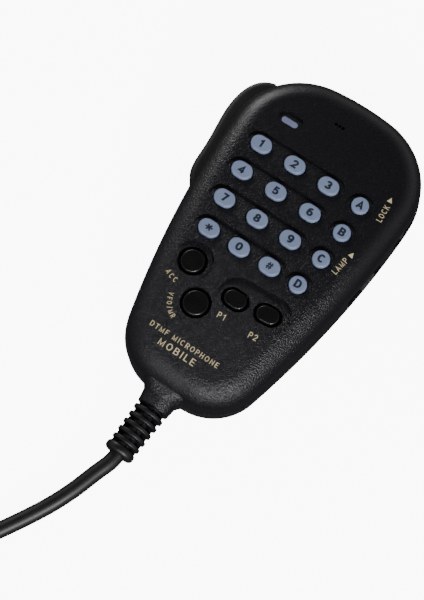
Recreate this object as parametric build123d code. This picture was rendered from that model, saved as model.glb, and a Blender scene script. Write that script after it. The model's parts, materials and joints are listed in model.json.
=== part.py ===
from build123d import *
import math
import os

# Hand microphone with a DTMF keypad, lying on its back.
#
# Everything on the microphone is modelled in the microphone's own frame: x to the right, y towards the top
# end, z out of the keypad face, with z = 0 on the joint between the two case halves and y = 0 between the
# second and third key rows. At the end each piece is set down on its back: the rim of the hanger stud and
# the lower rear edge of the case touch z = 0, so the top end is raised a little.

os.makedirs("parts", exist_ok=True)

# ------------------------------------------------------------------ driving sizes, millimetres and degrees
TOP_Y = 45.7                     # top end of the case
BOTTOM_Y = -59.2                 # bottom end of the case
SHOULDER = (30.55, 39.6)         # where the top and side curves of the case would meet
FOOT = (18.3, -57.3)             # where the side and bottom curves would meet
SIDE_MID = (28.7, -8.0)          # a point on the side curve
SHOULDER_R = 24.0
FOOT_R = 17.0
WALL = 2.0                       # case wall
FRONT_DEPTH = 12.5               # keypad face above the joint, at its highest
REAR_DEPTH = 11.0
CROWN_R = 500.0                  # the keypad face is gently curved from end to end
CROWN_Y = -5.0                   # where it is highest
FRONT_DRAFT = 6.0
REAR_DRAFT = 3.0
FRONT_ROUND = 7.4
REAR_ROUND = 5.0
HEEL_LAND = 0.35                 # flat ground off the lower rear edge, so that it rests steadily

KEY_PITCH_X = 11.5
KEY_PITCH_Y = 9.93
ROW_SPREAD = [0.993, 1.0, 0.962, 0.882]       # the rows narrow with the case
LETTER_STEP = 0.93                            # the letter column stands closer
KEY_SIZE = (6.4, 4.9)
LETTER_SIZE = (5.1, 5.1)
KEY_GAP = 0.35
KEY_PROUD = 1.0
KEY_TRAVEL = 0.8
KEY_NAMES = [["1", "2", "3", "a"], ["4", "5", "6", "b"], ["7", "8", "9", "c"], ["star", "0", "hash", "d"]]

# name, centre, cap size, hole size, turn
FUNCTION_KEYS = [
    ("acc", (-13.7, -25.3), (6.8, 6.8), (8.7, 8.7), 0.0),
    ("vm", (-6.2, -34.9), (7.3, 7.3), (9.0, 9.0), 0.0),
    ("p1", (2.4, -28.0), (6.6, 4.8), (8.5, 6.4), 0.0),
    ("p2", (12.3, -26.7), (6.6, 4.8), (8.5, 6.4), 6.0),
]
SCOOP_DEPTH = 0.75               # the face dips under the upper edge of each key row

BOARD_TOP = 4.6
BOARD_THICK = 1.6
BOARD_INSET = 4.7
MAT_THICK = 0.8
CONTACT_THICK = 0.15

LENS_AT = (-14.4, 25.8)
LENS_SIZE = (5.3, 2.0)
CAPSULE_AT = (-1.8, 33.0)
CAPSULE_R = 4.85
CAPSULE_LONG = 4.0

CASE_SCREWS = [(-17.0, 36.6), (17.0, 36.6), (-13.6, -48.6), (13.6, -48.6)]
BOARD_SCREWS = [(0.0, 22.6), (-21.8, -10.5), (21.6, -13.0), (4.5, -39.6)]

STUD_AT = (0.0, 12.0)
STUD_R = 7.1
STUD_TALL = 6.5

# the two slide switches in the right wall: name, wall point, turn, rest offset, slot half length
SLIDES = [("lock", (30.1, 21.6), 6.4, -1.5, 8.2), ("lamp", (29.75, -1.05), -6.0, 1.5, 7.6)]
SLIDE_TRAVEL = 3.0
SLOT_TALL = 4.0

TOP_BUTTONS = [("up", 9.0), ("down", -9.0)]
TOP_BUTTON_TRAVEL = 0.5

PTT_PIVOT = (-25.4, -2.6)
PTT_SWING = 3.6                  # degrees
PTT_HALF = 6.0                   # half of its height
PTT_SWITCH_Y = 8.0
PTT_PLUNGER_TRAVEL = 0.66

CORD_R = 2.35
NECK_END = -64.4
NECK_X = -0.7                    # the neck and the relief stand a little to the left of the middle
RELIEF_TURN = -2.6               # and the relief leans left
RING_PITCH = 2.52
RING_COUNT = 5
BEAD_END = -80.5

SET_DOWN = (1.377, 17.28)         # brings the middle of the microphone's box over the origin
CURL_R = 6.5                     # outside of the curly part of the cord
RING_AT = (-8.5, -158.4)        # the curly part lies in an open ring round this point
RING_R = 35.0
RING_START = 174.0
RING_SWEEP = 276.0
PLUG_W = 9.65
PLUG_H = 6.6
PLUG_LONG = 20.5
CONTACT_PITCH = 1.02
LATCH_HINGE = (PLUG_LONG - 1.3, PLUG_H - 1.0)     # forward along the plug, and up
LATCH_SLOPE = 14.0
LATCH_SWING = 6.0

# the cord from the relief to the curly part, set down; the first point is the relief's end
LEAD_ROUTE = [(-0.053, -62.66, 7.5), (-0.16, -65.04, 7.22), (-1.95, -69.41, 6.5), (-4.04, -76.36, 5.4),
              (-7.01, -83.41, 4.2), (-10.88, -90.54, 3.1), (-15.8, -99.0, 2.45), (-21.5, -108.7, 2.36), (-29.4, -118.8, 2.36),
              (-36.8, -130.1, 2.36), (-42.0, -142.7, 2.36), (-43.31, -154.74, 2.36)]
# the short tail from the curly part to the plug
TAIL_ROUTE = [(-8.5, -123.4, 2.36), (-17.9, -123.4, 2.36), (-25.8, -128.8, 2.36), (-29.8, -137.2, 2.36),
              (-31.1, -146.3, 2.36), (-29.9, -155.8, 2.36), (-25.9, -164.0, 2.6), (-19.3, -169.4, 3.3),
              (-10.7, -170.4, 3.3)]


# ------------------------------------------------------------------ helpers
def face_z(y):
    """Height of the keypad face at y."""
    return FRONT_DEPTH - (y - CROWN_Y) ** 2 / (2 * CROWN_R)


def outline(inset=0.0):
    """The case seen from the front, at the joint, drawn in by inset."""
    right = ThreePointArc(SHOULDER, SIDE_MID, FOOT)
    left = ThreePointArc((-FOOT[0], FOOT[1]), (-SIDE_MID[0], SIDE_MID[1]), (-SHOULDER[0], SHOULDER[1]))
    top = ThreePointArc((-SHOULDER[0], SHOULDER[1]), (0, TOP_Y), SHOULDER)
    bottom = ThreePointArc(FOOT, (0, BOTTOM_Y), (-FOOT[0], FOOT[1]))
    face = make_face(Curve() + [top, right, bottom, left])
    upper = face.vertices().filter_by(lambda v: v.Y > 0)
    face = fillet(upper, SHOULDER_R)
    lower = face.vertices().filter_by(lambda v: v.Y < -50 and abs(v.X) > FOOT[0] - 1)
    face = fillet(lower, FOOT_R)
    # every edge is an arc round a centre inside the case, so each of its points moves towards that centre
    arcs = []
    for edge in face.edges():
        moved = []
        for place in (0, 0.5, 1):
            point = edge @ place
            moved.append(point + (edge.arc_center - point).normalized() * inset)
        arcs.append(ThreePointArc(*moved))
    return make_face(Curve() + arcs)


def drafted_block(inset, tall, draft):
    """The outline raised to a height, drawing in with the draft."""
    top_inset = inset + tall * math.tan(math.radians(draft))
    return loft([outline(inset), Pos(0, 0, tall) * outline(top_inset)], ruled=True)


def front_block(inset, depth, edge_round):
    """A closed block with the front half's outer or inner shape."""
    block = drafted_block(inset, depth + 2.0, FRONT_DRAFT)
    crown = Pos(0, CROWN_Y, depth - CROWN_R) * Rot(0, 90, 0) * Cylinder(CROWN_R, 200)
    block = block & crown
    top = block.faces().sort_by(Axis.Z)[-1]
    return fillet(top.edges(), edge_round)


def rear_block(inset, depth, edge_round):
    """A closed block with the rear half's outer or inner shape, below z = 0."""
    block = drafted_block(inset, depth, REAR_DRAFT)
    top = block.faces().sort_by(Axis.Z)[-1]
    return mirror(fillet(top.edges(), edge_round), about=Plane.XY)


def slot_prism(width, height, low, high, at=(0, 0), turn=0.0):
    """An upright oblong prism with round ends between two heights."""
    if abs(width - height) < 0.01:
        shape = Circle(width / 2)
    else:
        shape = SlotOverall(width, height)
    return Pos(at[0], at[1], low) * Rot(0, 0, turn) * extrude(shape, amount=high - low)


def rod(radius, low, high, at=(0, 0)):
    """An upright round rod between two heights."""
    return Pos(at[0], at[1], (low + high) / 2) * Cylinder(radius, high - low)


def bar(x, y, z):
    """A box given by its three ranges."""
    centre = ((x[0] + x[1]) / 2, (y[0] + y[1]) / 2, (z[0] + z[1]) / 2)
    return Pos(*centre) * Box(x[1] - x[0], y[1] - y[0], z[1] - z[0])


def rod_y(radius, far, near, x=0.0, z=0.0):
    """A round rod along y between two places."""
    return Pos(x, (far + near) / 2, z) * Rot(90, 0, 0) * Cylinder(radius, near - far)


def key_places():
    """Name, centre, cap size of each of the sixteen keys."""
    places = []
    for row, names in enumerate(KEY_NAMES):
        y = KEY_PITCH_Y * (1.5 - row)
        for column, name in enumerate(names):
            step = [-1.5, -0.5, 0.5, 0.5 + LETTER_STEP][column]
            size = LETTER_SIZE if column == 3 else KEY_SIZE
            places.append((name, (step * KEY_PITCH_X * ROW_SPREAD[row], y), size))
    return places


def all_keys():
    """Every face button: name, centre, cap size, hole size, turn, how far it stands above the face."""
    keys = []
    for name, at, size in key_places():
        hole = (size[0] + 2 * KEY_GAP, size[1] + 2 * KEY_GAP)
        keys.append((name, at, size, hole, 0.0, KEY_PROUD))
    for name, at, size, hole, turn in FUNCTION_KEYS:
        keys.append((name, at, size, hole, turn, 0.15))
    return keys


# ------------------------------------------------------------------ case halves
def scoops():
    """The shallow ramps that dip under the upper edge of each key row, and under the indicator lens."""
    cutters = []
    ramp = math.degrees(math.atan2(SCOOP_DEPTH, KEY_SIZE[1] + 1.5))
    for row in range(4):
        y = KEY_PITCH_Y * (1.5 - row)
        spread = KEY_PITCH_X * ROW_SPREAD[row]
        half_w = spread + KEY_SIZE[0] / 2 + 1.6
        height = KEY_SIZE[1] + 2.9
        shape = RectangleRounded(2 * half_w, height, height / 2 - 0.05)
        floor = Pos(-0.5 * spread, y, face_z(y) - SCOOP_DEPTH / 2 + 0.12) * Rot(-ramp, 0, 0)
        cutters.append(floor * extrude(shape, amount=4))
        x = (0.5 + LETTER_STEP) * spread
        floor = Pos(x, y, face_z(y) - SCOOP_DEPTH / 2 + 0.12) * Rot(-ramp, 0, 0)
        cutters.append(floor * extrude(Circle(LETTER_SIZE[0] / 2 + 1.45), amount=4))
    # one ramp for the two oblong buttons and one for the upper round button
    y = (FUNCTION_KEYS[2][1][1] + FUNCTION_KEYS[3][1][1]) / 2 + 0.6
    x = (FUNCTION_KEYS[2][1][0] + FUNCTION_KEYS[3][1][0]) / 2 + 0.4
    floor = Pos(x, y, face_z(y) - 0.38) * Rot(-4.0, 0, 3.0)
    cutters.append(floor * extrude(RectangleRounded(22.0, 11.4, 5.6), amount=4))
    x, y = FUNCTION_KEYS[0][1]
    floor = Pos(x, y, face_z(y) - 0.38) * Rot(-4.0, 4.0, 0)
    cutters.append(floor * extrude(Circle(5.9), amount=4))
    # the indicator's oblong dish
    x, y = LENS_AT
    floor = Pos(x, y + 0.6, face_z(y) - 0.55) * Rot(-9.0, 0, 0)
    cutters.append(floor * extrude(SlotOverall(7.6, 4.4), amount=4))
    return cutters


def neck_block():
    """The flared neck around the strain relief, whole: each case half takes its own half of it."""
    sections = [(-56.4, 15.4, 13.4, 3.6), (-58.4, 13.9, 12.4, 3.6), (-61.0, 10.4, 10.4, 4.4),
                (NECK_END, 9.5, 9.5, 4.4)]
    faces = []
    for y, width, height, corner in sections:
        face = RectangleRounded(width, height, corner)
        faces.append(Plane((NECK_X, y, 0), x_dir=(1, 0, 0), z_dir=(0, -1, 0)) * face)
    return loft(faces, ruled=True)


def ptt_window():
    """The opening in the left wall for the push-to-talk lever."""
    reach = PTT_HALF + 0.35
    window = bar((-45, -22.5), (-5.6, 37.6), (-reach, reach))
    return fillet(window.edges().filter_by(Axis.X), 0.5)


def top_button_windows():
    """Openings for the two buttons in the top edge."""
    return [bar((x - 4.0, x + 4.0), (38.5, 50), (-2.6, 2.6)) for name, x in TOP_BUTTONS]


def joint_groove():
    """The fine shadow line round the case where its halves meet, left out at the neck."""
    ring = extrude(outline(-0.3) - outline(0.4), amount=0.2, both=True)
    return ring - bar((-9.0, 7.6), (-70, -50), (-1, 1))


def slide_frame(at, turn):
    """Where a slide switch sits: its local x points out of the wall and its y along it."""
    return Pos(at[0], at[1], 0) * Rot(0, 0, turn)


def make_front_case():
    outer = front_block(0, FRONT_DEPTH, FRONT_ROUND)
    inner = front_block(WALL, FRONT_DEPTH - WALL, FRONT_ROUND - WALL)
    neck = neck_block() & bar((-20, 20), (-70, -50), (0, 20))
    case = outer + neck - inner
    # posts for the case screws and the circuit board's screws, hung from the face
    for x, y in CASE_SCREWS:
        case += rod(3.0, 0, FRONT_DEPTH, (x, y)) & outer
    for x, y in BOARD_SCREWS:
        case += rod(2.2, BOARD_TOP, FRONT_DEPTH - 1.0, (x, y)) & outer
    for x, y in CASE_SCREWS:
        case -= rod(1.2, -1, 7.2, (x, y))
    for x, y in BOARD_SCREWS:
        case -= rod(0.85, BOARD_TOP - 1, BOARD_TOP + 3.4, (x, y))
    # buttons
    for cutter in scoops():
        case -= cutter
    for name, at, size, hole, turn, proud in all_keys():
        case -= slot_prism(hole[0], hole[1], 6, 16, at, turn)
    # indicator and sound holes
    case -= slot_prism(LENS_SIZE[0] + 0.1, LENS_SIZE[1] + 0.1, 6, 16, LENS_AT)
    for step in (-1.17, 0, 1.17):
        case -= rod(0.5, 6, 16, (CAPSULE_AT[0] + step, CAPSULE_AT[1]))
    # openings in the walls
    case -= ptt_window()
    for window in top_button_windows():
        case -= window
    for name, at, turn, rest, half in SLIDES:
        slot = bar((-5.2, 5), (-half, half), (-1, SLOT_TALL))
        slot = fillet(slot.edges().filter_by(Axis.X).group_by(Axis.Z)[-1], 1.2)
        case -= slide_frame(at, turn) * slot
    case -= rod_y(3.45, NECK_END - 1, -56.6, NECK_X)
    case -= rod(0.8, 0, 8.6, PTT_PIVOT)
    return case - joint_groove()


def heel_line():
    """Tilt that brings the stud's rim and the lower rear edge onto one level, and that level."""
    stud_y = STUD_AT[1] - STUD_R
    stud_z = -REAR_DEPTH - STUD_TALL
    edge_y = BOTTOM_Y + REAR_DEPTH * math.tan(math.radians(REAR_DRAFT)) + REAR_ROUND
    edge_z = -REAR_DEPTH + REAR_ROUND
    run = stud_y - edge_y
    drop = edge_z - stud_z
    # rim height equals edge height: run sin t - drop cos t + round - land = 0
    lift = REAR_ROUND - HEEL_LAND
    length = math.hypot(run, drop)
    tilt = math.atan2(drop, run) - math.asin(lift / length)
    level = stud_y * math.sin(tilt) + stud_z * math.cos(tilt)
    return math.degrees(tilt), level


TILT, LEVEL = heel_line()


def make_rear_case():
    outer = rear_block(0, REAR_DEPTH, REAR_ROUND)
    inner = rear_block(WALL, REAR_DEPTH - WALL, REAR_ROUND - WALL)
    neck = neck_block() & bar((-20, 20), (-70, -50), (-20, 0))
    case = outer + neck - inner
    for x, y in CASE_SCREWS:
        case += rod(3.3, -REAR_DEPTH + 1, 0, (x, y)) & outer
    for x, y in CASE_SCREWS:
        case -= rod(2.7, -20, -7.0, (x, y))
        case -= rod(1.45, -20, 1, (x, y))
    case += rod(4.4, -REAR_DEPTH + 0.5, -REAR_DEPTH + 4.0, STUD_AT)
    case -= rod(1.6, -20, 0, STUD_AT)
    case -= Pos(STUD_AT[0], STUD_AT[1], -REAR_DEPTH + 2.6) * extrude(RegularPolygon(3.3, 6), amount=4)
    case -= ptt_window()
    for window in top_button_windows():
        case -= window
    case -= rod_y(3.45, NECK_END - 1, -56.6, NECK_X)
    case -= rod(0.8, -8.6, 0, PTT_PIVOT)
    # shallow seat for the label plate on the back
    case -= bar((-13.05, 13.05), (-38.05, -11.95), (-20, -REAR_DEPTH + 0.5))
    # the heel, ground flat at the level that the microphone rests on
    ground = Rot(-TILT, 0, 0) * (Pos(0, 0, LEVEL - 10) * Box(200, 400, 20))
    return case - ground - joint_groove()


def make_label_plate():
    plate = bar((-13, 13), (-38, -12), (-REAR_DEPTH + 0.1, -REAR_DEPTH + 0.5))
    return fillet(plate.edges().filter_by(Axis.Z), 0.04)


def make_case_screws():
    """Four pan-head screws with a cross recess, put in from the back."""
    screws = []
    for x, y in CASE_SCREWS:
        screw = rod(2.3, -8.9, -7.0, (x, y)) + rod(1.2, -7.0, 6.6, (x, y))
        screw = screw - bar((x - 1.5, x + 1.5), (y - 0.3, y + 0.3), (-9, -7.9))
        screw = screw - bar((x - 0.3, x + 0.3), (y - 1.5, y + 1.5), (-9, -7.9))
        screws.append(screw)
    return Compound(screws)


# ------------------------------------------------------------------ hanger stud
def make_hanger_stud():
    """A turned button: narrow neck against the case and a broad round head that a hook plate takes."""
    low = -REAR_DEPTH - STUD_TALL
    profile = Polyline((1.65, -REAR_DEPTH), (6.2, -REAR_DEPTH), (6.2, -REAR_DEPTH - 0.9),
                       (4.4, -REAR_DEPTH - 1.4), (4.4, -REAR_DEPTH - 3.4), (STUD_R, -REAR_DEPTH - 3.9),
                       (STUD_R, low + 0.5), (STUD_R - 0.5, low), (3.1, low), (1.65, low + 1.5), close=True)
    face = make_face(Plane.XZ * profile)
    return Pos(STUD_AT[0], STUD_AT[1], 0) * revolve(face, Axis.Z)


def make_hanger_screw():
    """Countersunk screw through the stud, with its cross recess."""
    low = -REAR_DEPTH - STUD_TALL + 0.15
    profile = Polyline((0, low), (2.9, low), (1.5, low + 1.45), (1.5, -REAR_DEPTH + 4.8), (0, -REAR_DEPTH + 4.8),
                       close=True)
    screw = Pos(STUD_AT[0], STUD_AT[1], 0) * revolve(make_face(Plane.XZ * profile), Axis.Z)
    x, y = STUD_AT
    screw -= bar((x - 1.7, x + 1.7), (y - 0.35, y + 0.35), (low - 1, low + 0.9))
    return screw - bar((x - 0.35, x + 0.35), (y - 1.7, y + 1.7), (low - 1, low + 0.9))


def make_hanger_nut():
    nut = extrude(RegularPolygon(3.1, 6), amount=2.4)
    return Pos(STUD_AT[0], STUD_AT[1], -REAR_DEPTH + 2.6) * (nut - Cylinder(1.55, 20))


# ------------------------------------------------------------------ keypad
def flange_top(at, half):
    """Highest level that a button's collar may take under the curved face."""
    lowest = min(face_z(at[1] - half), face_z(at[1] + half))
    return lowest - WALL - 0.3


def make_key(at, size, turn, proud, edge):
    """Cap, the collar that keeps it in the case, and the stem that presses the contact."""
    top = face_z(at[1]) + proud
    collar_top = flange_top(at, size[1] / 2 + 0.9)
    cap = slot_prism(size[0], size[1], collar_top - 0.4, top, at, turn)
    cap = fillet(cap.edges().group_by(Axis.Z)[-1], edge)
    collar = slot_prism(size[0] + 1.7, size[1] + 1.7, collar_top - 0.8, collar_top, at, turn)
    stem = rod(1.8, BOARD_TOP + CONTACT_THICK + KEY_TRAVEL + 0.1, collar_top - 0.6, at)
    return cap + collar + stem


def board_outline():
    """The circuit board seen from the front."""
    board = outline(BOARD_INSET) - Pos(0, 45.0) * Rectangle(80, 12.8) - Pos(0, -60.0) * Rectangle(80, 16)
    board -= Pos(-32.0, 15.5) * Rectangle(24.0, 46)
    board -= Pos(*CAPSULE_AT) * Circle(6.3)
    for x, y in CASE_SCREWS:
        board -= Pos(x, y) * Circle(3.5)
    return board


def make_main_board():
    board = extrude(board_outline(), amount=BOARD_THICK)
    board = Pos(0, 0, BOARD_TOP - BOARD_THICK) * board
    for x, y in BOARD_SCREWS:
        board -= rod(1.1, 0, 10, (x, y))
    return board


def make_keypad_mat():
    """Silicone sheet on the board, with a raised collar round each stem."""
    sheet = Pos(-0.4, -9.3) * RectangleRounded(43.0, 59.4, 3) & outline(BOARD_INSET + 1.2)
    mat = Pos(0, 0, BOARD_TOP) * extrude(sheet, amount=MAT_THICK)
    for name, at, size, hole, turn, proud in all_keys():
        mat += rod(3.1, BOARD_TOP + 0.4, BOARD_TOP + 2.0, at)
    for name, at, size, hole, turn, proud in all_keys():
        mat -= rod(2.25, 0, 12, at)
    for x, y in BOARD_SCREWS:
        mat -= rod(2.6, 0, 12, (x, y))
    for x, y in backlight_places():
        mat -= bar((x - 1.6, x + 1.6), (y - 1.1, y + 1.1), (0, 12))
    return mat


def make_key_contacts():
    pads = [rod(1.9, BOARD_TOP, BOARD_TOP + CONTACT_THICK, at) for name, at, *rest in all_keys()]
    return Compound(pads)


def backlight_places():
    rows = [KEY_PITCH_Y, -KEY_PITCH_Y]
    return [(x, y) for y in rows for x in (-11.0, 0.0, 10.9)]


def make_backlights():
    lights = []
    for x, y in backlight_places():
        lights.append(bar((x - 1.1, x + 1.1), (y - 0.65, y + 0.65), (BOARD_TOP, BOARD_TOP + 0.8)))
    return Compound(lights)


def make_board_screws():
    screws = []
    low = BOARD_TOP - BOARD_THICK
    for x, y in BOARD_SCREWS:
        screw = rod(1.9, low - 1.3, low, (x, y)) + rod(0.85, low, BOARD_TOP + 3.0, (x, y))
        screw = screw - bar((x - 1.1, x + 1.1), (y - 0.2, y + 0.2), (low - 2, low - 0.7))
        screw = screw - bar((x - 0.2, x + 0.2), (y - 1.1, y + 1.1), (low - 2, low - 0.7))
        screws.append(screw)
    return Compound(screws)


def make_encoder_chip():
    """Surface-mount tone encoder on the back of the board, with its legs."""
    low = BOARD_TOP - BOARD_THICK
    x, y = 6.0, 8.0
    chip = bar((x - 5, x + 5), (y - 3.75, y + 3.75), (low - 2.3, low - 0.2))
    for i in range(8):
        leg_x = x - 4.45 + i * 1.27
        for side in (-1, 1):
            chip += bar((leg_x - 0.2, leg_x + 0.2), (y + side * 3.5 - 1.2, y + side * 3.5 + 1.2), (low - 0.8, low))
    return chip


def make_crystal():
    low = BOARD_TOP - BOARD_THICK
    can = Pos(7.0, -3.6, low - 1.9) * extrude(SlotOverall(11.0, 4.6), amount=1.9)
    return can


def make_board_parts():
    """Chip resistors and capacitors on the back of the board."""
    low = BOARD_TOP - BOARD_THICK
    parts = []
    for i in range(5):
        x = -8.0 + i * 4.0
        parts.append(bar((x - 1.0, x + 1.0), (-10.6, -9.4), (low - 0.7, low)))
        parts.append(bar((x - 0.6, x + 0.6), (-17.0, -15.0), (low - 0.9, low)))
    for x, y in ((-6.5, -24.0), (1.5, -24.0)):
        parts.append(rod(2.4, low - 4.6, low, (x, y)))
    return Compound(parts)


# ------------------------------------------------------------------ indicator and capsule
def make_indicator_lens():
    x, y = LENS_AT
    under = face_z(y) - 3.4
    lens = slot_prism(LENS_SIZE[0], LENS_SIZE[1], under, face_z(y) - 0.35, LENS_AT)
    lens = fillet(lens.edges().group_by(Axis.Z)[-1], 0.25)
    return lens + slot_prism(LENS_SIZE[0] + 1.6, LENS_SIZE[1] + 1.6, under, face_z(y + 2) - WALL - 0.05, LENS_AT)


def make_indicator_led():
    top = face_z(LENS_AT[1]) - 3.6
    return bar((LENS_AT[0] - 1.5, LENS_AT[0] + 1.5), (LENS_AT[1] - 1.0, LENS_AT[1] + 1.0), (BOARD_TOP, top))


def make_mic_capsule():
    top = face_z(CAPSULE_AT[1] + 6) - WALL - 1.0
    return rod(CAPSULE_R, top - CAPSULE_LONG, top, CAPSULE_AT)


def make_mic_boot():
    """Rubber cup round the capsule, open over the sound holes."""
    top = face_z(CAPSULE_AT[1] + 6) - WALL - 0.2
    boot = rod(CAPSULE_R + 0.9, top - CAPSULE_LONG - 1.2, top, CAPSULE_AT)
    boot -= rod(CAPSULE_R, top - 0.8 - CAPSULE_LONG, top - 0.8, CAPSULE_AT)
    return boot - rod(2.2, top - 2, top + 1, CAPSULE_AT)


# ------------------------------------------------------------------ slide switches
def make_slide_switch(at, turn):
    """Switch body under the board's right edge."""
    low = BOARD_TOP - BOARD_THICK
    body = bar((-9.6, -5.8), (-4.4, 4.4), (low - 3.6, low - 0.02))
    body -= bar((-6.8, -5), (-3.6, 3.6), (low - 2.9, low - 0.9))
    return slide_frame(at, turn) * body


def make_slide_knob(at, turn, rest):
    """Dust plate behind the slot, the nub that the thumb moves, and the tongue in the switch."""
    low = BOARD_TOP - BOARD_THICK
    plate = bar((-3.75, -2.95), (-5.2, 5.2), (-1.6, SLOT_TALL + 0.7))
    nub = bar((-3.4, -0.15), (-2.6, 2.6), (0.35, SLOT_TALL - 0.35))
    nub = fillet(nub.faces().sort_by(Axis.X)[-1].edges(), 0.35)
    for y in (-0.75, 0.75):
        nub -= bar((-0.55, 1), (y - 0.25, y + 0.25), (0, SLOT_TALL))
    tongue = bar((-6.6, -3.4), (-0.9, 0.9), (low - 2.6, low - 1.2))
    return slide_frame(at, turn) * (Pos(0, rest, 0) * (plate + nub + tongue))


# ------------------------------------------------------------------ top buttons
def make_top_button(x):
    face = bar((x - 3.7, x + 3.7), (40.6, TOP_Y + 0.15), (-2.3, 2.3))
    face = fillet(face.edges().filter_by(Axis.Y), 0.8)
    face = face & (Pos(0, -0.2, 0) * extrude(offset(outline(), 0.95), amount=8, both=True))
    collar = bar((x - 4.6, x + 4.6), (40.4, 41.2), (-3.2, 3.2))
    stem = bar((x - 1.2, x + 1.2), (38.95, 40.6), (-0.3, 2.1))
    return face + collar + stem


def make_top_switches():
    """Two side-push switches under the top of the board."""
    low = BOARD_TOP - BOARD_THICK
    bodies = []
    for name, x in TOP_BUTTONS:
        body = bar((x - 3.0, x + 3.0), (34.4, 37.8), (low - 4.0, low))
        bodies.append(body + rod_y(0.8, 37.6, 38.4, x, 0.9))
    return Compound(bodies)


# ------------------------------------------------------------------ push-to-talk
def make_ptt_lever():
    """The lever: its outer skin is one long curve, its lower end carries two knuckles for the pin."""
    outer = Spline((-26.2, -5.2), (-30.4, -2.2), (-32.1, 8.0), (-33.3, 19.0), (-33.2, 27.0), (-30.6, 33.6),
                   (-25.6, 36.6))
    inner = Polyline((-25.6, 36.6), (-24.4, 34.6), (-25.2, 28.0), (-26.0, 16.0), (-25.4, 3.0), (-23.6, 0.2),
                     (-23.0, -2.6), (-23.9, -4.6), (-26.2, -5.2))
    skin = extrude(make_face(Curve() + [outer, inner]), amount=PTT_HALF, both=True)
    rim = skin.edges().filter_by(lambda e: abs(abs(e.center().Z) - PTT_HALF) < 0.01 and e.center().X < -29)
    skin = fillet(rim, 1.6)
    # hollow behind the skin, the rib that presses the switch, the stop lip at the top end
    pocket = bar((-29.0, -22.0), (4.5, 30.5), (-PTT_HALF + 1.6, PTT_HALF - 1.6))
    lever = skin - pocket
    rib = bar((-30.0, -22.45), (PTT_SWITCH_Y - 1.0, PTT_SWITCH_Y + 1.0), (-2.2, 1.4))
    lever = lever + rib
    lever = lever - bar((-27.6, -20), (-7, 4.6), (-2.2, 2.2))
    return lever - rod(0.8, -20, 20, PTT_PIVOT)


def make_ptt_pin():
    return rod(0.75, -8.2, 8.2, PTT_PIVOT)


def make_ptt_spring():
    """Torsion spring on the pin: a short coil and two legs."""
    coil = rod(1.5, -1.8, 1.8) - rod(0.95, -3, 3)
    for z in (-0.9, 0.0, 0.9):
        coil -= Pos(0, 0, z) * Torus(1.62, 0.2)
    for z, turn in ((1.5, 0), (-1.5, -25)):
        coil += Rot(0, 0, turn) * Pos(1.2, 0, z) * rod_y(0.25, 0, 6.0)
    return Pos(*PTT_PIVOT) * coil


def make_ptt_switch():
    low = BOARD_TOP - BOARD_THICK
    y = PTT_SWITCH_Y
    body = bar((-19.6, -13.8), (y - 3.2, y + 3.2), (low - 6.4, low))
    return body - bar((-20, -15.6), (y - 1.05, y + 1.05), (-1.55, 0.75))


def make_ptt_plunger():
    y = PTT_SWITCH_Y
    plunger = bar((-22.3, -16.5), (y - 0.95, y + 0.95), (-1.45, 0.65))
    return fillet(plunger.faces().sort_by(Axis.X)[0].edges(), 0.3)


# ------------------------------------------------------------------ strain relief and inner cord
def lean(shape):
    """Everything beyond the neck leans to the left about the neck's end."""
    return Pos(NECK_X, NECK_END, 0) * Rot(0, 0, RELIEF_TURN) * Pos(0, -NECK_END, 0) * shape


def make_strain_relief():
    """Flange behind the case wall, stem through the neck, rings joined by four webs, and the end bead."""
    fixed = rod_y(4.3, -56.2, -54.6, NECK_X) + rod_y(3.4, NECK_END, -56.0, NECK_X)
    ring_r = [4.72, 4.62, 4.55, 4.48, 4.4]
    tail = rod_y(3.4, NECK_END - 0.35, NECK_END)
    last = NECK_END - 1.9 - RING_PITCH * (RING_COUNT - 1)
    webs = rod_y(3.85, BEAD_END + 1.0, NECK_END - 0.25) & (
        bar((-0.6, 0.6), (-90, -60), (-5, 5)) + bar((-5, 5), (-90, -60), (-0.6, 0.6)))
    tail += webs
    for i in range(RING_COUNT):
        y = NECK_END - 1.9 - RING_PITCH * i
        ring = rod_y(ring_r[i], y - 0.6, y + 0.6)
        tail += fillet(ring.edges(), 0.35)
    bead = rod_y(4.5, BEAD_END, last - 1.4)
    tail += fillet(bead.edges(), 1.15)
    relief = fixed + lean(tail) - rod_y(CORD_R + 0.05, NECK_END, -50, NECK_X)
    return relief - lean(rod_y(CORD_R + 0.05, -90, NECK_END + 0.2))


def make_cord_inner():
    """The cord's end inside the relief and the case."""
    lean_angle = math.radians(RELIEF_TURN)
    reach = NECK_END - BEAD_END
    path = FilletPolyline((NECK_X, -52.0, 0), (NECK_X, NECK_END, 0),
                          (NECK_X + reach * math.sin(lean_angle), NECK_END - reach * math.cos(lean_angle), 0), radius=20)
    return sweep(Plane((NECK_X, -52.0, 0), z_dir=(0, -1, 0)) * Circle(CORD_R), path=path)


def make_cord_wires():
    """Six wires from the cord's end to the board connector."""
    wires = []
    low = BOARD_TOP - BOARD_THICK
    for i in range(6):
        angle = math.radians(60 * i + 30)
        start = (NECK_X + 1.35 * math.cos(angle), -52.0, 1.35 * math.sin(angle))
        end = (-6.25 + 2.5 * i, -46.6, low - 1.6)
        mid_a = (start[0], -50.8, start[2])
        mid_b = (end[0], -47.9, end[2])
        path = Polyline(start, mid_a, mid_b, end)
        section = Plane(start, z_dir=(0, 1, 0)) * Circle(0.42)
        wires.append(sweep(section, path=path, transition=Transition.ROUND))
    return Compound(wires)


def make_cord_connector():
    low = BOARD_TOP - BOARD_THICK
    block = bar((-8.0, 8.0), (-46.6, -43.6), (low - 3.2, low))
    for i in range(6):
        x = -6.25 + 2.5 * i
        block += bar((x - 0.3, x + 0.3), (-43.7, -42.4), (low - 0.5, low))
    return block


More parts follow.
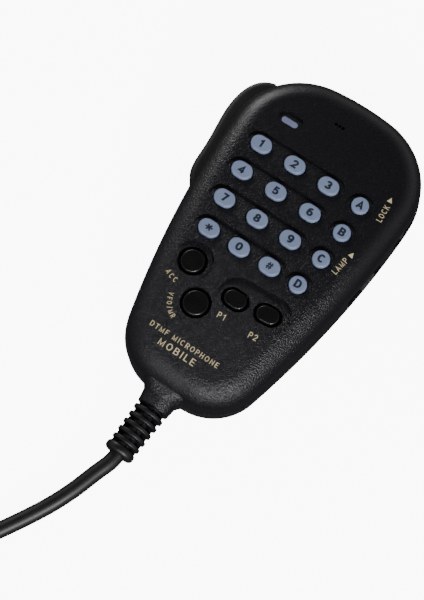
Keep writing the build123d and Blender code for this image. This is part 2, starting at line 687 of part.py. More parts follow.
# ------------------------------------------------------------------ free cord and plug, already set down
def cord_tube(route):
    """A round tube of straight runs joined by tangent arcs, each as large as its runs allow."""
    points = [Vector(*p) for p in route]
    runs = [b - a for a, b in zip(points, points[1:])]
    radii = []
    for before, after in zip(runs, runs[1:]):
        half_turn = math.radians(before.get_angle(after) / 2)
        radii.append(0.45 * min(before.length, after.length) / math.tan(half_turn))
    path = FilletPolyline(*route, radius=radii)
    return sweep(Plane(route[0], z_dir=runs[0]) * Circle(CORD_R), path=path)


def make_cord_curl():
    """The outer shape of the curly part: one fat tube lying in an open ring."""
    angle = math.radians(RING_START)
    start = (RING_AT[0] + RING_R * math.cos(angle), RING_AT[1] + RING_R * math.sin(angle), CURL_R)
    path = Pos(RING_AT[0], RING_AT[1], CURL_R) * CenterArc((0, 0), RING_R, RING_START, RING_SWEEP)
    section = Plane(start, z_dir=(-math.sin(angle), math.cos(angle), 0)) * Circle(CURL_R)
    return sweep(section, path=path)


def plug_frame():
    """The plug's frame: x runs forward out of the cord, z is up."""
    last, end = Vector(*TAIL_ROUTE[-2]), Vector(*TAIL_ROUTE[-1])
    heading = math.degrees(math.atan2(end.Y - last.Y, end.X - last.X))
    return Pos(end.X, end.Y, 0) * Rot(0, 0, heading)


def make_plug_body():
    """Clear modular plug: stepped rear, six slots at the lower front, a well and a nose notch for the latch."""
    half = PLUG_W / 2
    body = bar((0, PLUG_LONG), (-half, half), (0, PLUG_H))
    body -= bar((-1, 5.0), (-half - 1, half + 1), (PLUG_H - 1.2, PLUG_H + 1))
    body -= bar((6.5, PLUG_LONG + 1), (-3.2, 3.2), (PLUG_H - 1.9, PLUG_H + 1))
    body = fillet(body.edges().filter_by(Axis.X).group_by(Axis.Z)[0], 0.4)
    for i in range(6):
        y = (i - 2.5) * CONTACT_PITCH
        body -= bar((PLUG_LONG - 6.0, PLUG_LONG + 1), (y - 0.25, y + 0.25), (-1, 2.4))
    return plug_frame() * body


def make_plug_contacts():
    blades = []
    for i in range(6):
        y = (i - 2.5) * CONTACT_PITCH
        blades.append(plug_frame() * bar((PLUG_LONG - 5.6, PLUG_LONG - 0.9), (y - 0.2, y + 0.2), (0.35, 2.3)))
    return Compound(blades)


def make_plug_latch():
    """The springy tab: a root at the nose, shoulders that catch in the socket, and a long thumb end."""
    tab = bar((-17.5, -0.2), (-1.6, 1.6), (-0.4, 0.4)) + bar((-9.0, -1.6), (-2.9, 2.9), (-0.4, 0.4))
    tab = fillet(tab.edges().filter_by(Axis.Z), 0.3)
    root = Rot(90, 0, 0) * Cylinder(0.6, 5.8)
    return plug_frame() * Pos(LATCH_HINGE[0], 0, LATCH_HINGE[1]) * (Rot(0, LATCH_SLOPE, 0) * tab + root)


# ------------------------------------------------------------------ set down on its back
def tilted(shape):
    return Pos(SET_DOWN[0], SET_DOWN[1], -LEVEL) * Rot(TILT, 0, 0) * shape


def build_cord():
    """The free cord and its plug, by name, where they lie."""
    return {
        "cord_lead": cord_tube(LEAD_ROUTE),
        "cord_curl": make_cord_curl(),
        "cord_tail": cord_tube(TAIL_ROUTE),
        "plug_body": make_plug_body(),
        "plug_contacts": make_plug_contacts(),
        "plug_latch": make_plug_latch(),
    }


def build_microphone():
    """Every piece that belongs to the microphone, by name, in the microphone's own frame."""
    pieces = {
        "front_case": make_front_case(),
        "rear_case": make_rear_case(),
        "label_plate": make_label_plate(),
        "case_screws": make_case_screws(),
        "hanger_stud": make_hanger_stud(),
        "hanger_screw": make_hanger_screw(),
        "hanger_nut": make_hanger_nut(),
        "main_board": make_main_board(),
        "keypad_mat": make_keypad_mat(),
        "key_contacts": make_key_contacts(),
        "backlight_leds": make_backlights(),
        "board_screws": make_board_screws(),
        "encoder_chip": make_encoder_chip(),
        "crystal": make_crystal(),
        "board_parts": make_board_parts(),
        "indicator_lens": make_indicator_lens(),
        "indicator_led": make_indicator_led(),
        "mic_capsule": make_mic_capsule(),
        "mic_boot": make_mic_boot(),
        "top_switches": make_top_switches(),
        "ptt_lever": make_ptt_lever(),
        "ptt_pin": make_ptt_pin(),
        "ptt_spring": make_ptt_spring(),
        "ptt_switch": make_ptt_switch(),
        "ptt_plunger": make_ptt_plunger(),
        "strain_relief": make_strain_relief(),
        "cord_inner": make_cord_inner(),
        "cord_wires": make_cord_wires(),
        "cord_connector": make_cord_connector(),
    }
    for name, at, size, hole, turn, proud in all_keys():
        edge = 0.5 if proud == KEY_PROUD else 0.45
        pieces["key_" + name] = make_key(at, size, turn, proud, edge)
    switches = []
    for name, at, turn, rest, half in SLIDES:
        switches.append(make_slide_switch(at, turn))
        pieces[name + "_knob"] = make_slide_knob(at, turn, rest)
    pieces["slide_switches"] = Compound(switches)
    for name, x in TOP_BUTTONS:
        pieces["button_" + name] = make_top_button(x)
    return pieces


if __name__ == "__main__":
    for name, shape in build_microphone().items():
        export_step(tilted(shape), "parts/" + name + ".step")
    for name, shape in build_cord().items():
        export_step(shape, "parts/" + name + ".step")
    print("tilt", round(TILT, 3), "level", round(LEVEL, 3))
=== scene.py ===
# %% [markdown]
# # Hand microphone
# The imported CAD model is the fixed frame: a moulded case, keys, lever, knobs, strain relief and plug. This
# script adds what CAD leaves plain: finishes, printing, the round cord with its curly part, camera, light.
# The microphone lies on its back, so its own axes are tilted against the floor. All sizes are in metres.

# %% Frame
import json
import math

import bmesh
import bpy
import numpy as np
from mathutils import Matrix, Vector
from mathutils.bvhtree import BVHTree


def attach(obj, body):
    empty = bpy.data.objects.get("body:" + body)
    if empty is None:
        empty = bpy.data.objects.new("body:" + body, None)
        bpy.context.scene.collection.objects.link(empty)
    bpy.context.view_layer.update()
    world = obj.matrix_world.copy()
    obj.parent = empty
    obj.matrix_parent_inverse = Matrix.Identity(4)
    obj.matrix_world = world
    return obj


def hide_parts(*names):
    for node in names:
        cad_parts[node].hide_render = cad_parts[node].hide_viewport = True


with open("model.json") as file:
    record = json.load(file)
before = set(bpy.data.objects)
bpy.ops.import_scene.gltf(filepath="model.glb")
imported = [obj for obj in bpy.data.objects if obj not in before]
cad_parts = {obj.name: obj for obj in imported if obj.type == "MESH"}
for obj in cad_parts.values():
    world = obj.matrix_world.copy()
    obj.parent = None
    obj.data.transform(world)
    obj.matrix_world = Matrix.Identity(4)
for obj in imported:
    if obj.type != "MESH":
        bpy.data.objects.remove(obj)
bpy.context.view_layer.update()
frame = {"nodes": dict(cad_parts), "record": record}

MM = 0.001
nodes = frame["nodes"]
tilted = Matrix.Translation(Vector((1.377, 17.28, 16.815)) * MM) @ Matrix.Rotation(math.radians(6.6455), 4, "X")

# %% [markdown]
# ## Camera
# A long lens looks down on the microphone from its lower left, with the case running to the upper right.

# %% Camera
def make_camera():
    data = bpy.data.cameras.new("camera")
    data.sensor_fit = "HORIZONTAL"
    data.sensor_width = 36
    data.lens = 120.417
    data.clip_end = 10
    camera = bpy.data.objects.new("camera", data)
    bpy.context.scene.collection.objects.link(camera)
    right = Vector((0.83023, 0.55051, 0.08749))
    up = Vector((-0.53718, 0.74827, 0.38926))
    back = right.cross(up)
    turn = Matrix((right, up, back)).transposed().to_4x4()
    camera.matrix_world = Matrix.Translation(Vector((56.969, -161.019, 384.984)) * MM) @ turn
    bpy.context.scene.camera = camera
    return camera


camera = make_camera()
print("camera at", [round(v, 3) for v in camera.matrix_world.translation])

# %% [markdown]
# ## Cord
# One round cord: a bare lead from the strain relief down to the floor, the curly part, which lies in an open
# ring, and a short bare tail to the plug. The curly part winds round a smooth middle line.

# %% Cord
CORD_R = 2.35 * MM
CURL_TURN_R = 4.15 * MM
CURL_TURNS = 32
LEAD = [(-0.053, -62.66, 7.5), (-0.16, -65.04, 7.22), (-1.95, -69.41, 6.5), (-4.04, -76.36, 5.4),
        (-7.01, -83.41, 4.2), (-10.88, -90.54, 3.1), (-15.8, -99.0, 2.45), (-21.5, -108.7, 2.36),
        (-29.4, -118.8, 2.36), (-36.8, -130.1, 2.36), (-42.0, -142.7, 2.36), (-43.31, -154.74, 2.36)]
RING = [(-43.31, -154.74, 6.5), (-43.3, -164.7, 6.5), (-40.1, -174.2, 6.5), (-34.5, -182.4, 6.5),
        (-26.7, -188.7, 6.5), (-17.5, -192.6, 6.5), (-7.6, -193.7, 6.5), (2.2, -192.1, 6.5),
        (11.2, -187.7, 6.5), (18.6, -181.1, 6.5), (23.9, -172.6, 6.5), (26.6, -163.0, 6.5),
        (26.4, -153.0, 6.5), (23.5, -143.4, 6.5), (18.1, -135.1, 6.5), (10.5, -128.6, 6.5),
        (1.4, -124.5, 6.5), (-8.5, -123.4, 6.5)]
TAIL = [(-17.9, -123.4, 2.36), (-25.8, -128.8, 2.36), (-29.8, -137.2, 2.36), (-31.1, -146.3, 2.36),
        (-29.9, -155.8, 2.36), (-25.9, -164.0, 2.6), (-19.3, -169.4, 3.3), (-10.7, -170.4, 3.3)]


def nurbs_curve(name, points, resolution):
    """A smooth open line with these control points, in millimetres."""
    data = bpy.data.curves.new(name, "CURVE")
    data.dimensions = "3D"
    data.resolution_u = resolution
    spline = data.splines.new("NURBS")
    spline.points.add(len(points) - 1)
    for point, place in zip(spline.points, points):
        point.co = (place[0] * MM, place[1] * MM, place[2] * MM, 1)
    spline.order_u = 3
    spline.use_endpoint_u = True
    curve = bpy.data.objects.new(name, data)
    bpy.context.scene.collection.objects.link(curve)
    return curve


def line_points(curve):
    """Points along a curve with no bevel."""
    bpy.context.view_layer.update()
    mesh = bpy.data.meshes.new_from_object(curve)
    return [v.co.copy() for v in mesh.vertices]


def curl_points():
    """The winding round the ring's middle line. It leaves and rejoins the floor with an easy pitch."""
    route = nurbs_curve("curl_route", RING, 24)
    line = line_points(route)
    bpy.data.objects.remove(route)
    lengths = np.concatenate([[0], np.cumsum([(b - a).length for a, b in zip(line, line[1:])])])
    steps = CURL_TURNS * 16
    share = np.linspace(0, 1, steps + 1)
    ease = 0.035
    rate = np.clip(share / ease, 0, 1) * np.clip((1 - share) / ease, 0, 1)
    rate = rate * rate * (3 - 2 * rate)
    phase = np.concatenate([[0], np.cumsum((rate[1:] + rate[:-1]) / 2)])
    phase = phase / phase[-1] * (CURL_TURNS - 2) * 2 * math.pi
    points = []
    for s, angle in zip(share * lengths[-1], phase):
        i = min(int(np.searchsorted(lengths, s, side="right")) - 1, len(line) - 2)
        part = (s - lengths[i]) / (lengths[i + 1] - lengths[i])
        middle = line[i].lerp(line[i + 1], part)
        ahead = (line[i + 1] - line[i]).normalized()
        side = Vector((-ahead.y, ahead.x, 0)).normalized()
        swell = 1 + 0.012 * math.sin(angle * 0.37) + 0.008 * math.sin(angle * 0.83)
        offset = side * math.sin(angle) - Vector((0, 0, 1)) * math.cos(angle)
        points.append((middle + offset * CURL_TURN_R * min(swell, 1.0)) / MM)
    return points


def make_cord():
    winding = curl_points()
    cord = nurbs_curve("round_cord", LEAD + [tuple(p) for p in winding[1:]] + TAIL, 3)
    # the thickness is on the points, with a bevel of 1, because a curve's bounds reach out by its points' radius
    for point in cord.data.splines[0].points:
        point.radius = CORD_R
    cord.data.bevel_depth = 1.0
    cord.data.bevel_resolution = 4
    cord.data.use_fill_caps = True
    return cord


cord = make_cord()
line = line_points(nurbs_curve("measured_line", LEAD, 12))
bpy.data.objects.remove(bpy.data.objects["measured_line"])
print("bare lead", round(sum((b - a).length for a, b in zip(line, line[1:])), 4), "m")
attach(cord, "case")
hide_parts("cord_lead", "cord_curl", "cord_tail")

# %% [markdown]
# ## Finishes
# Every finish is a node tree on Object coordinates, so its grain keeps its real size in millimetres.

# %% Finish helpers
def new_material(name):
    material = bpy.data.materials.new(name)
    material.use_nodes = True
    tree = material.node_tree
    shader = tree.nodes["Principled BSDF"]
    place = tree.nodes.new("ShaderNodeTexCoord").outputs["Object"]
    return material, tree, shader, place


def noise(tree, place, size_mm, detail=2.0, rough=0.5):
    """Cloudy noise whose lumps are about size_mm across."""
    node = tree.nodes.new("ShaderNodeTexNoise")
    node.inputs["Scale"].default_value = 1 / (size_mm * MM)
    node.inputs["Detail"].default_value = detail
    node.inputs["Roughness"].default_value = rough
    tree.links.new(place, node.inputs["Vector"])
    return node.outputs["Fac"]


def cells(tree, place, size_mm, feature="F1"):
    node = tree.nodes.new("ShaderNodeTexVoronoi")
    node.feature = feature
    node.inputs["Scale"].default_value = 1 / (size_mm * MM)
    tree.links.new(place, node.inputs["Vector"])
    return node.outputs["Distance"]


def remap(tree, value, low, high, out_low, out_high):
    node = tree.nodes.new("ShaderNodeMapRange")
    node.inputs["From Min"].default_value = low
    node.inputs["From Max"].default_value = high
    node.inputs["To Min"].default_value = out_low
    node.inputs["To Max"].default_value = out_high
    tree.links.new(value, node.inputs["Value"])
    return node.outputs["Result"]


def join(tree, kind, a, b):
    node = tree.nodes.new("ShaderNodeMath")
    node.operation = kind
    for socket, value in zip(node.inputs, (a, b)):
        if isinstance(value, (int, float)):
            socket.default_value = value
        else:
            tree.links.new(value, socket)
    return node.outputs["Value"]


def tint(tree, value, low, high):
    """A colour that runs from low to high with the value."""
    node = tree.nodes.new("ShaderNodeMix")
    node.data_type = "RGBA"
    node.inputs[6].default_value = (*low, 1)
    node.inputs[7].default_value = (*high, 1)
    tree.links.new(value, node.inputs[0])
    return node.outputs[2]


def bump(tree, shader, height, depth_mm, strength=1.0, below=None):
    node = tree.nodes.new("ShaderNodeBump")
    node.inputs["Distance"].default_value = depth_mm * MM
    node.inputs["Strength"].default_value = strength
    tree.links.new(height, node.inputs["Height"])
    if below is not None:
        tree.links.new(below, node.inputs["Normal"])
    tree.links.new(node.outputs["Normal"], shader.inputs["Normal"])
    return node.outputs["Normal"]


# %% [markdown]
# ## Case
# Black moulded plastic with a sand grain, which is coarser over the keypad end and fades to a finer, duller
# grain towards the top end.

# %% Case finish
def grained_black(name, grain_mm, depth_mm, low_rough, high_rough):
    material, tree, shader, place = new_material(name)
    lumps = noise(tree, place, grain_mm, 3, 0.55)
    pits = cells(tree, place, grain_mm * 1.3)
    split = tree.nodes.new("ShaderNodeSeparateXYZ")
    tree.links.new(place, split.inputs[0])
    coarse = remap(tree, split.outputs["Y"], -0.01, 0.05, 1.0, 0.3)
    height = join(tree, "ADD", lumps, join(tree, "MULTIPLY", pits, 0.8))
    height = join(tree, "MULTIPLY", height, coarse)
    bump(tree, shader, height, depth_mm)
    patches = noise(tree, place, 14, 3)
    tree.links.new(tint(tree, patches, (0.0042, 0.0042, 0.0062), (0.006, 0.006, 0.0085)), shader.inputs["Base Color"])
    tree.links.new(remap(tree, lumps, 0.3, 0.7, low_rough, high_rough), shader.inputs["Roughness"])
    shader.inputs["Specular IOR Level"].default_value = 0.5
    return material


finishes = {"case_black": grained_black("case_black_grain", 0.36, 0.17, 0.27, 0.4)}
print("finishes", sorted(finishes))

# %% [markdown]
# ## Other finishes
# Each material slot of the record gets its own node tree.

# %% Plain mouldings
def moulded(name, dark, light, low_rough, high_rough, grain_mm=0.3, depth_mm=0.01, coat=0.0, metal=0.0, under=0.0):
    material, tree, shader, place = new_material(name)
    fine = noise(tree, place, grain_mm, 3)
    wide = noise(tree, place, grain_mm * 14, 3)
    tree.links.new(tint(tree, wide, dark, light), shader.inputs["Base Color"])
    mixed = join(tree, "ADD", join(tree, "MULTIPLY", fine, 0.5), join(tree, "MULTIPLY", wide, 0.5))
    tree.links.new(remap(tree, mixed, 0.3, 0.7, low_rough, high_rough), shader.inputs["Roughness"])
    bump(tree, shader, fine, depth_mm)
    shader.inputs["Metallic"].default_value = metal
    shader.inputs["Coat Weight"].default_value = coat
    shader.inputs["Coat Roughness"].default_value = 0.12
    if under:
        shader.inputs["Subsurface Weight"].default_value = under
        shader.inputs["Subsurface Radius"].default_value = (0.0006, 0.0007, 0.0009)
        shader.inputs["Subsurface Scale"].default_value = 1.0
    return material


def brushed(name, colour, rough, along=(1, 1, 30), lines_mm=0.12):
    """Bare metal with fine lines along one axis."""
    material, tree, shader, place = new_material(name)
    stretch = tree.nodes.new("ShaderNodeMapping")
    stretch.inputs["Scale"].default_value = along
    tree.links.new(place, stretch.inputs["Vector"])
    lines = noise(tree, stretch.outputs["Vector"], lines_mm * 8, 4, 0.7)
    light = tuple(min(1.0, c * 1.12) for c in colour)
    dark = tuple(c * 0.8 for c in colour)
    tree.links.new(tint(tree, lines, dark, light), shader.inputs["Base Color"])
    tree.links.new(remap(tree, lines, 0.3, 0.7, rough * 0.75, rough * 1.3), shader.inputs["Roughness"])
    bump(tree, shader, lines, 0.004)
    shader.inputs["Metallic"].default_value = 1.0
    return material


def clear_plastic(name):
    material, tree, shader, place = new_material(name)
    haze = noise(tree, place, 1.6, 3)
    tree.links.new(tint(tree, haze, (0.72, 0.75, 0.78), (0.86, 0.88, 0.9)), shader.inputs["Base Color"])
    tree.links.new(remap(tree, haze, 0.3, 0.7, 0.05, 0.16), shader.inputs["Roughness"])
    bump(tree, shader, haze, 0.01)
    shader.inputs["Alpha"].default_value = 0.42
    shader.inputs["IOR"].default_value = 1.58
    material.surface_render_method = "BLENDED"
    return material


finishes.update({
    "lever_black": moulded("lever_black_matt", (0.0075, 0.0075, 0.009),
            (0.0105, 0.0105, 0.012), 0.46, 0.6, 0.22, 0.02),
    "button_black": moulded("button_black_polished", (0.004, 0.004, 0.0045),
            (0.006, 0.006, 0.0065), 0.22, 0.34, 0.3, 0.004),
    "key_blue_grey": moulded("key_blue_grey", (0.17, 0.215, 0.335),
            (0.2, 0.25, 0.38), 0.42, 0.55, 0.25, 0.008, under=0.15),
    "lens": moulded("lens_frosted", (0.15, 0.17, 0.28), (0.19, 0.21, 0.33), 0.34, 0.46, 0.3, 0.01),
    "rubber_black": moulded("rubber_black_matt", (0.0035, 0.0035, 0.0045),
            (0.005, 0.005, 0.0065), 0.4, 0.52, 0.35, 0.015),
    "rubber_grey": moulded("silicone_grey", (0.26, 0.27, 0.29), (0.33, 0.34, 0.36), 0.5, 0.65, 0.4, 0.02),
    "carbon": moulded("carbon_print", (0.015, 0.015, 0.015), (0.03, 0.03, 0.03), 0.6, 0.8, 0.2, 0.01),
    "board_green": moulded("solder_mask_green", (0.006, 0.07, 0.028),
            (0.012, 0.11, 0.045), 0.22, 0.36, 0.8, 0.01, coat=0.3),
    "chip_black": moulded("epoxy_black", (0.012, 0.012, 0.013),
            (0.022, 0.022, 0.023), 0.5, 0.66, 0.25, 0.015),
    "knob_grey": moulded("knob_grey", (0.03, 0.03, 0.034), (0.04, 0.04, 0.045), 0.4, 0.55, 0.25, 0.012),
    "led_white": moulded("led_white", (0.7, 0.7, 0.62), (0.8, 0.8, 0.74), 0.25, 0.4, 0.4, 0.005),
    "connector_white": moulded("nylon_white", (0.68, 0.66, 0.6), (0.78, 0.77, 0.72), 0.4, 0.55, 0.4, 0.01),
    "wire_mixed": moulded("vinyl_wire", (0.25, 0.02, 0.015), (0.4, 0.04, 0.03), 0.35, 0.5, 0.3, 0.005),
    "contact_gold": brushed("gold_plate", (0.83, 0.6, 0.22), 0.2),
    "can_steel": brushed("drawn_can", (0.6, 0.6, 0.61), 0.32),
    "screw_steel": brushed("zinc_steel", (0.5, 0.5, 0.52), 0.36),
    "spring_steel": brushed("spring_wire", (0.45, 0.45, 0.47), 0.3),
    "stud_metal": brushed("nickel_turned", (0.62, 0.61, 0.6), 0.2),
    "label_silver": brushed("label_foil", (0.52, 0.52, 0.54), 0.34, along=(30, 1, 1)),
    "plug_clear": clear_plastic("plug_clear"),
})
slot_of = {s["node"]: s["material_slot"] for s in frame["record"]["subparts"]}
for name, node in nodes.items():
    node.data.materials.clear()
    node.data.materials.append(finishes[slot_of[name]])
cord.data.materials.append(finishes["rubber_black"])
print("finishes", len(finishes))

# %% [markdown]
# ## Printing
# Each letter is a few ribbons with mitred corners along the middle lines of its strokes. A word is cut into small
# faces and laid down on the moulded surface, a few hundredths of a millimetre proud, as pad printing is.

# %% Printing helpers
def surface_tree(name):
    mesh = nodes[name].data
    return BVHTree.FromPolygons([v.co for v in mesh.vertices], [p.vertices for p in mesh.polygons])


def arc(cx, cy, rx, ry, first, last, steps=12):
    """Points on part of an ellipse, angles in degrees."""
    angles = [math.radians(first + (last - first) * i / steps) for i in range(steps + 1)]
    return [(cx + rx * math.cos(a), cy + ry * math.sin(a)) for a in angles]


SIX = [arc(0.33, 0.33, 0.225, 0.255, 0, 360, 20), arc(0.36, 0.47, 0.255, 0.45, 62, 205)]
P_BOWL = [(0.1, 0), (0.1, 0.925), (0.34, 0.925)] + arc(0.36, 0.69, 0.19, 0.235, 90, -90) + [(0.1, 0.455)]
GLYPHS = {                      # width, then the middle lines of the strokes, on letters one unit tall
    "0": (0.64, [arc(0.32, 0.5, 0.24, 0.425, 0, 360, 24)]),
    "1": (0.5, [[(0.1, 0.7), (0.33, 0.93), (0.33, 0)]]),
    "2": (0.62, [arc(0.31, 0.68, 0.22, 0.245, 175, -25) + [(0.1, 0.078), (0.58, 0.078)]]),
    "3": (0.62, [arc(0.29, 0.705, 0.205, 0.22, 165, -90) + arc(0.29, 0.28, 0.235, 0.205, 90, -165)]),
    "4": (0.64, [[(0.44, 0), (0.44, 0.9), (0.07, 0.27), (0.62, 0.27)]]),
    "5": (0.62, [[(0.54, 0.925), (0.18, 0.925), (0.13, 0.5)] + arc(0.3, 0.34, 0.235, 0.265, 120, -150)]),
    "6": (0.64, SIX),
    "7": (0.6, [[(0.05, 0.925), (0.54, 0.925), (0.24, 0)]]),
    "8": (0.64, [arc(0.32, 0.71, 0.19, 0.215, 0, 360, 20), arc(0.32, 0.285, 0.235, 0.21, 0, 360, 20)]),
    "9": (0.64, [[(0.66 - x, 1 - y) for x, y in stroke] for stroke in SIX]),
    "A": (0.68, [[(0.05, 0), (0.34, 0.92), (0.63, 0)], [(0.15, 0.3), (0.53, 0.3)]]),
    "B": (0.64, [[(0.1, 0.51), (0.1, 0.925), (0.34, 0.925)] + arc(0.35, 0.72, 0.17, 0.205, 90, -90) +
                 [(0.1, 0.51)],
                 [(0.1, 0.51), (0.1, 0.075), (0.34, 0.075)] + arc(0.36, 0.292, 0.2, 0.217, -90, 90)]),
    "C": (0.68, [arc(0.36, 0.5, 0.27, 0.425, 42, 318, 20)]),
    "D": (0.68, [[(0.1, 0.5), (0.1, 0.925), (0.28, 0.925)] + arc(0.3, 0.5, 0.29, 0.425, 90, -90) +
                 [(0.1, 0.075), (0.1, 0.5)]]),
    "E": (0.58, [[(0.54, 0.925), (0.1, 0.925), (0.1, 0.075), (0.56, 0.075)], [(0.1, 0.51), (0.5, 0.51)]]),
    "F": (0.54, [[(0.54, 0.925), (0.1, 0.925), (0.1, 0)], [(0.1, 0.5), (0.47, 0.5)]]),
    "H": (0.66, [[(0.1, 0), (0.1, 1)], [(0.56, 0), (0.56, 1)], [(0.1, 0.51), (0.56, 0.51)]]),
    "I": (0.2, [[(0.1, 0), (0.1, 1)]]),
    "K": (0.64, [[(0.1, 0), (0.1, 1)], [(0.56, 1), (0.12, 0.4)], [(0.26, 0.58), (0.6, 0)]]),
    "L": (0.54, [[(0.1, 1), (0.1, 0.075), (0.54, 0.075)]]),
    "M": (0.78, [[(0.1, 0), (0.1, 0.9), (0.39, 0.1), (0.68, 0.9), (0.68, 0)]]),
    "N": (0.68, [[(0.1, 0), (0.1, 0.9), (0.58, 0.1), (0.58, 1)]]),
    "O": (0.72, [arc(0.36, 0.5, 0.28, 0.425, 0, 360, 24)]),
    "P": (0.6, [P_BOWL]),
    "R": (0.64, [P_BOWL, [(0.32, 0.455), (0.58, 0)]]),
    "T": (0.6, [[(0.02, 0.925), (0.58, 0.925)], [(0.3, 0.925), (0.3, 0)]]),
    "V": (0.64, [[(0.04, 1), (0.32, 0.1), (0.6, 1)]]),
    "/": (0.4, [[(0.04, -0.05), (0.36, 1.05)]]),
    "*": (0.7, [arc(0.35, 0.5, 0.33, 0.33, a, a + 180, 1) for a in (0, 60, 120)]),
    "#": (0.8, [[(0.22, 0.04), (0.32, 0.96)], [(0.48, 0.04), (0.58, 0.96)], [(0.06, 0.34), (0.7, 0.34)],
                [(0.1, 0.66), (0.74, 0.66)]]),
    " ": (0.34, []),
}


def ribbon(points, half):
    """The two edges of a stroke with mitred corners."""
    closed = math.dist(points[0], points[-1]) < 1e-6
    count = len(points)
    left, right = [], []
    for i in range(count):
        before = points[i - 1] if i else (points[-2] if closed else None)
        after = points[i + 1] if i + 1 < count else (points[1] if closed else None)
        here = Vector(points[i])
        runs = [(here - Vector(before)).normalized()] if before else []
        runs += [(Vector(after) - here).normalized()] if after else []
        ahead = sum(runs, Vector((0, 0)))
        ahead = ahead.normalized() if ahead.length > 1e-6 else runs[0]
        side = Vector((-ahead.y, ahead.x))
        cosine = max(0.45, side.dot(Vector((-runs[0].y, runs[0].x))))
        left.append(here + side * half / cosine)
        right.append(here - side * half / cosine)
    return left, right


def letter_mesh(word, cap_mm, wide=1.0, weight=0.15, gap=0.2):
    """A word as a flat mesh in millimetres, its middle at the origin, each stroke one ribbon."""
    widths = [GLYPHS[c][0] for c in word]
    total = sum(widths) + gap * (len(word) - 1)
    x = -total / 2
    places, faces = [], []
    for index, letter in enumerate(word):
        for level, stroke in enumerate(GLYPHS[letter][1]):
            left, right = ribbon(stroke, weight / 2)
            first = len(places)
            for a, b in zip(left, right):
                places += [(((p.x + x) * wide) * cap_mm, (p.y - 0.5) * cap_mm, level * 0.004) for p in (a, b)]
            starts = [first + 2 * i for i in range(len(left) - 1)]
            faces += [(a, a + 1, a + 3, a + 2) for a in starts]
        x += widths[index] + gap
    mesh = bpy.data.meshes.new(word)
    mesh.from_pydata(places, [], faces)
    return mesh


def lay_down(name, mesh, at, turn, surface, material, body, proud_mm=0.02, from_mm=17.0):
    """Puts a flat mesh on a surface: at and turn are in the microphone's own frame, in millimetres and degrees."""
    shape = bmesh.new()
    shape.from_mesh(mesh)
    long_edges = [e for e in shape.edges if e.calc_length() > 0.5]
    bmesh.ops.subdivide_edges(shape, edges=long_edges, cuts=2, use_grid_fill=True)
    bmesh.ops.triangulate(shape, faces=shape.faces)
    place = Matrix.Translation((at[0], at[1], 0)) @ Matrix.Rotation(math.radians(turn), 4, "Z")
    down = (tilted.to_3x3() @ Vector((0, 0, -1))).normalized()
    missed = 0
    for v in shape.verts:
        lift = v.co.z
        flat = place @ v.co
        start = tilted @ (Vector((flat.x, flat.y, from_mm)) * MM)
        hit, normal, index, distance = surface.ray_cast(start, down)
        if hit is None:
            missed += 1
            hit = start
        v.co = hit - down * (proud_mm + lift) * MM
    for f in shape.faces:
        f.normal_update()
        if f.normal.dot(down) > 0:
            f.normal_flip()
    result = bpy.data.meshes.new(name)
    shape.to_mesh(result)
    shape.free()
    piece = bpy.data.objects.new(name, result)
    bpy.context.scene.collection.objects.link(piece)
    result.materials.append(material)
    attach(piece, body)
    if missed:
        print(name, "missed", missed)
    return piece


# %% [markdown]
# ## Labels on the case
# Cream print: what each switch and button does. The line under the type of microphone is a generic word.

# %% Case labels
cream = moulded("cream_print", (0.5, 0.42, 0.24), (0.66, 0.57, 0.35), 0.5, 0.7, 0.35, 0.01)
case_face = surface_tree("front_case")
LABELS = [("lock_label", "LOCK", (22.9, 16.7), 93.0, 1.75, 0.95),
          ("lamp_label", "LAMP", (21.25, -3.6), 81.0, 1.75, 0.95),
          ("p1_label", "P1", (1.9, -34.1), 5.0, 1.85, 1.0), ("p2_label", "P2", (12.3, -34.1), 5.0, 1.85, 1.0),
          ("type_label", "DTMF MICROPHONE", (-2.2, -46.3), 0.0, 1.6, 1.12),
          ("use_label", "MOBILE", (-2.7, -49.25), 0.0, 2.05, 1.25)]
for name, word, at, turn, cap, wide in LABELS:
    piece = lay_down(name, letter_mesh(word, cap, wide, 0.125, 0.24), at, turn, case_face, cream, "case")
    print(name, [round(v * 1000, 1) for v in piece.dimensions])


def arc_word(name, word, centre, radius, first, step, cap, wide=0.9):
    """Letters one by one round a button, their tops towards its middle."""
    for i, letter in enumerate(word):
        angle = first + step * i
        across = math.cos(math.radians(angle))
        along = math.sin(math.radians(angle))
        at = (centre[0] + radius * across, centre[1] + radius * along)
        lay_down(f"{name}_{i}", letter_mesh(letter, cap, wide, 0.13), at, angle + 90, case_face, cream, "case")


arc_word("acc_label", "ACC", (-13.7, -25.3), 7.3, -121.5, 12.0, 1.6)
arc_word("vm_label", "VFO/MR", (-6.2, -34.9), 7.3, 193.0, 10.3, 1.5, 0.85)


def arrow(name, at, turn, size):
    mesh = bpy.data.meshes.new(name)
    mesh.from_pydata([(-size / 2, -size / 2, 0), (size / 2, 0, 0), (-size / 2, size / 2, 0)], [], [(0, 1, 2)])
    return lay_down(name, mesh, at, turn, case_face, cream, "case")


arrow("lock_arrow", (22.5, 21.5), 93.0, 1.6)
arrow("lamp_arrow", (22.25, 1.1), 81.0, 1.6)

# %% [markdown]
# ## Legends on the keys
# Dark navy digits and letters, one for each key. Each moves with its key.

# %% Key legends
navy = moulded("navy_print", (0.006, 0.009, 0.02), (0.009, 0.013, 0.028), 0.45, 0.6, 0.3, 0.005)
def cap_middle(name):
    """The middle of the key's cap in the microphone's own frame."""
    inward = tilted.inverted() @ nodes[name].matrix_world
    places = [inward @ v.co for v in nodes[name].data.vertices]
    top = max(p.z for p in places)
    cap = [p for p in places if p.z > top - 0.6 * MM]
    xs = [p.x for p in cap]
    ys = [p.y for p in cap]
    return Vector(((min(xs) + max(xs)) / 2, (min(ys) + max(ys)) / 2, top))


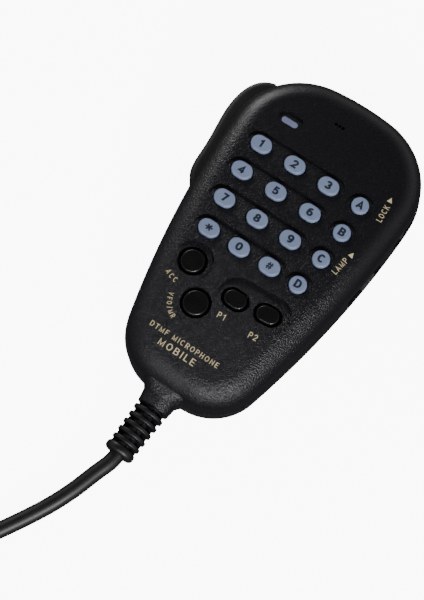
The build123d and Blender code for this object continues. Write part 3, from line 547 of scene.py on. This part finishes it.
LEGENDS = {"star": "*", "hash": "#", "a": "A", "b": "B", "c": "C", "d": "D"}
for name in list(nodes):
    short = name[4:]
    if not name.startswith("key_") or short in ("contacts", "acc", "vm", "p1", "p2"):
        continue
    middle = cap_middle(name)
    word = LEGENDS.get(short, short)
    cap = 3.0 if short == "star" else 2.35
    weight = 0.15 if short in ("star", "hash") else 0.235
    lay_down(name + "_legend", letter_mesh(word, cap, 1.18, weight), (middle.x / MM, middle.y / MM), 0,
             surface_tree(name), navy, name)

# %% [markdown]
# ## Stage and light
# A plain white floor that gives off light, like a light table, with three soft lights low at the sides. The floor
# is left out of reflections and bounced light, so the black rims stay dark. The sky is dark overhead and paler at
# the horizon, so that the flat face stays black and the rounded edges catch light.

# %% Stage
def make_floor():
    bpy.ops.mesh.primitive_plane_add(size=30)
    floor = bpy.context.object
    floor.name = "floor"
    material, tree, shader, place = new_material("floor_white")
    soft = noise(tree, place, 60, 2)
    tree.links.new(tint(tree, soft, (0.93, 0.93, 0.93), (0.95, 0.95, 0.95)), shader.inputs["Base Color"])
    shader.inputs["Roughness"].default_value = 0.9
    shader.inputs["Specular IOR Level"].default_value = 0.1
    shader.inputs["Emission Color"].default_value = (1, 1, 1, 1)
    shader.inputs["Emission Strength"].default_value = 9.0
    floor.data.materials.append(material)
    floor.visible_glossy = False
    floor.visible_diffuse = False


def make_sky():
    world = bpy.data.worlds.new("tent")
    bpy.context.scene.world = world
    world.use_nodes = True
    tree = world.node_tree
    back = tree.nodes["Background"]
    place = tree.nodes.new("ShaderNodeTexCoord").outputs["Generated"]
    split = tree.nodes.new("ShaderNodeSeparateXYZ")
    tree.links.new(place, split.inputs[0])
    upper = remap(tree, split.outputs["Z"], 0.3, 0.8, 0.55, 0.018)
    level = join(tree, "MULTIPLY", upper, remap(tree, split.outputs["Z"], -0.06, 0.02, 0.12, 1.0))
    back.inputs["Color"].default_value = (1, 1, 1, 1)
    tree.links.new(level, back.inputs["Strength"])


def soft_light(name, place, target, size, power):
    data = bpy.data.lights.new(name, "AREA")
    data.shape = "RECTANGLE"
    data.size, data.size_y = size
    data.energy = power
    lamp = bpy.data.objects.new(name, data)
    bpy.context.scene.collection.objects.link(lamp)
    lamp.location = place
    lamp.rotation_euler = (Vector(target) - Vector(place)).to_track_quat("-Z", "Y").to_euler()
    return lamp


make_floor()
make_sky()
soft_light("near_side", (0.55, -0.6, 0.5), (0.0, -0.02, 0.02), (0.3, 0.25), 9)
soft_light("front_side", (0.1, -0.8, 0.62), (0.0, -0.02, 0.02), (0.4, 0.25), 2.6)
soft_light("far_side", (-0.6, 0.5, 0.4), (0.0, 0.02, 0.02), (0.3, 0.2), 2.5)
